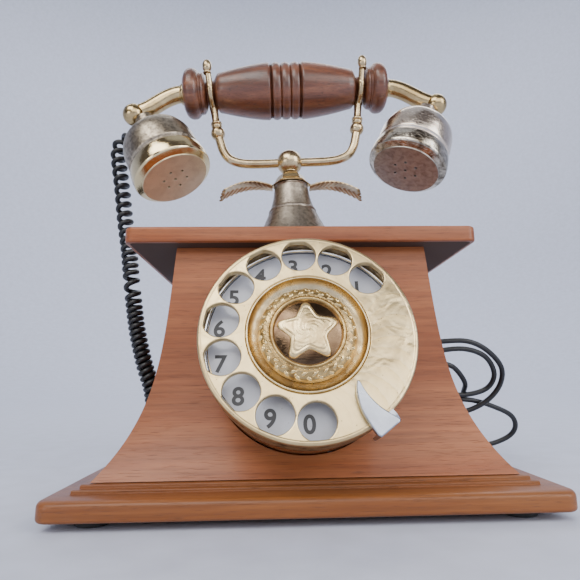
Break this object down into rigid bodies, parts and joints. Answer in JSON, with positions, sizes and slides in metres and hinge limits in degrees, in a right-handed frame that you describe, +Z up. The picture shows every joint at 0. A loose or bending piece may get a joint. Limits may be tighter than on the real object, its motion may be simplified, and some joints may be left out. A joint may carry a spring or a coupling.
{
  "type": "cradle telephone",
  "caption": "French-style cradle telephone: flared wooden case on a moulded plinth, rotary dial, bell-shaped stand with a two-armed fork, turned wooden handset with metal cups.",
  "frame": {"origin": "on the surface the feet stand on, below the middle of the telephone's footprint without its cords", "axes": "+Z up, +X to the right as seen from the front, the dial faces -Y"},
  "size_m": [0.2891, 0.2442, 0.2555],
  "materials": {
    "case_wood": "satin lacquered reddish-orange hardwood with a fine straight grain",
    "grip_wood": "glossy dark red-brown mahogany",
    "dial_brass": "mottled satin brass",
    "medallion_brass": "polished gold-brown brass",
    "bright_brass": "polished brass",
    "cradle_metal": "satin nickel-brass",
    "cup_metal": "satin nickel-brass with fine scratches",
    "steel": "satin steel",
    "bezel_chrome": "polished",
    "plate_enamel": "glossy pale enamel with dark printed digits",
    "black_rubber": "matt",
    "cord_black": "satin",
    "plug_plastic": "clear-grey moulded",
    "phenolic": "dark moulded resin",
    "coil_copper": "varnished copper winding"
  },
  "bodies": {
    "case": {"plinth": "case_wood", "bottom_plate": "steel", "plate_screw_1": "steel", "plate_screw_2": "steel", "left_front_foot": "black_rubber", "right_front_foot": "black_rubber", "left_rear_foot": "black_rubber", "right_rear_foot": "black_rubber", "front_panel": "case_wood", "back_panel": "case_wood", "left_side_panel": "case_wood", "right_side_panel": "case_wood", "top_board": "case_wood", "dial_housing": "dial_brass", "number_plate": "plate_enamel", "dial_bezel": "bezel_chrome", "finger_stop": "steel", "cradle_bell": "cradle_metal", "cradle_collar": "bright_brass", "left_wing": "bright_brass", "right_wing": "bright_brass", "hook_bracket": "steel", "hook_spring": "steel", "hook_switch": "phenolic", "ringer_frame": "steel", "left_gong": "bright_brass", "right_gong": "bright_brass", "ringer_coil": "coil_copper", "ringer_core": "steel", "network_block": "phenolic", "handset_cord_gland": "black_rubber", "line_cord_gland": "black_rubber", "handset_cord": "cord_black", "line_cord": "cord_black", "line_cord_coil": "cord_black", "line_plug": "plug_plastic"},
    "dial_rotor": {"finger_wheel": "dial_brass", "hub_dish": "dial_brass", "hub_medallion": "medallion_brass", "hub_star": "medallion_brass", "dial_shaft_gear": "dial_brass"},
    "governor_spindle": {"governor": "steel"},
    "cradle": {"cradle_hub": "cradle_metal", "left_fork_arm": "cradle_metal", "right_fork_arm": "cradle_metal", "hook_rod": "steel"},
    "handset": {"grip": "grip_wood", "left_tube": "bright_brass", "right_tube": "bright_brass", "left_elbow_ball": "bright_brass", "right_elbow_ball": "bright_brass", "left_cup": "cup_metal", "right_cup": "cup_metal", "left_cap": "cup_metal", "right_cap": "cup_metal", "transmitter_capsule": "steel", "receiver_capsule": "steel", "handset_gland": "black_rubber"},
    "switch_arm": {"switch_lever": "bright_brass"},
    "bell_clapper": {"clapper": "steel"}
  },
  "joints": [
    {"name": "dial_spin", "type": "hinge", "parent": "case", "child": "dial_rotor", "pos_m": [0, -0.075, 0.0759], "axis": [0, 0.9598, -0.2807], "range_deg": [0, 312], "stiffness_Nm_per_rad": 0.01, "springref_deg": -28.65},
    {"name": "governor_spin", "type": "hinge", "parent": "case", "child": "governor_spindle", "pos_m": [-0.02365, -0.06178, 0.06054], "axis": [0, 0.9598, -0.2807], "range_deg": [-1248, 0]},
    {"name": "handset_lift", "type": "slide", "parent": "case", "child": "handset", "axis": [-0.0401, 0, 0.9992], "range_m": [0, 0.045]},
    {"name": "hook_slide", "type": "slide", "parent": "case", "child": "cradle", "axis": [-0.0401, 0, 0.9992], "range_m": [0, 0.0045], "stiffness_N_per_m": 60, "springref_m": 0.008, "deforming": ["hook_spring"]},
    {"name": "lever_swing", "type": "hinge", "parent": "case", "child": "switch_arm", "pos_m": [0.025, 0.008, 0.0862], "axis": [0, 1, 0], "range_deg": [0, 11.5]},
    {"name": "clapper_swing", "type": "hinge", "parent": "case", "child": "bell_clapper", "pos_m": [0, 0.034, 0.027], "axis": [0, 1, 0], "range_deg": [-5, 5], "stiffness_Nm_per_rad": 0.02}
  ],
  "couplings": [
    {"joint": "governor_spin", "follows": "dial_spin", "ratio": -4},
    {"joint": "hook_slide", "follows": "handset_lift", "ratio": 0.1},
    {"joint": "lever_swing", "follows": "handset_lift", "rad_per_m": 4}
  ]
}
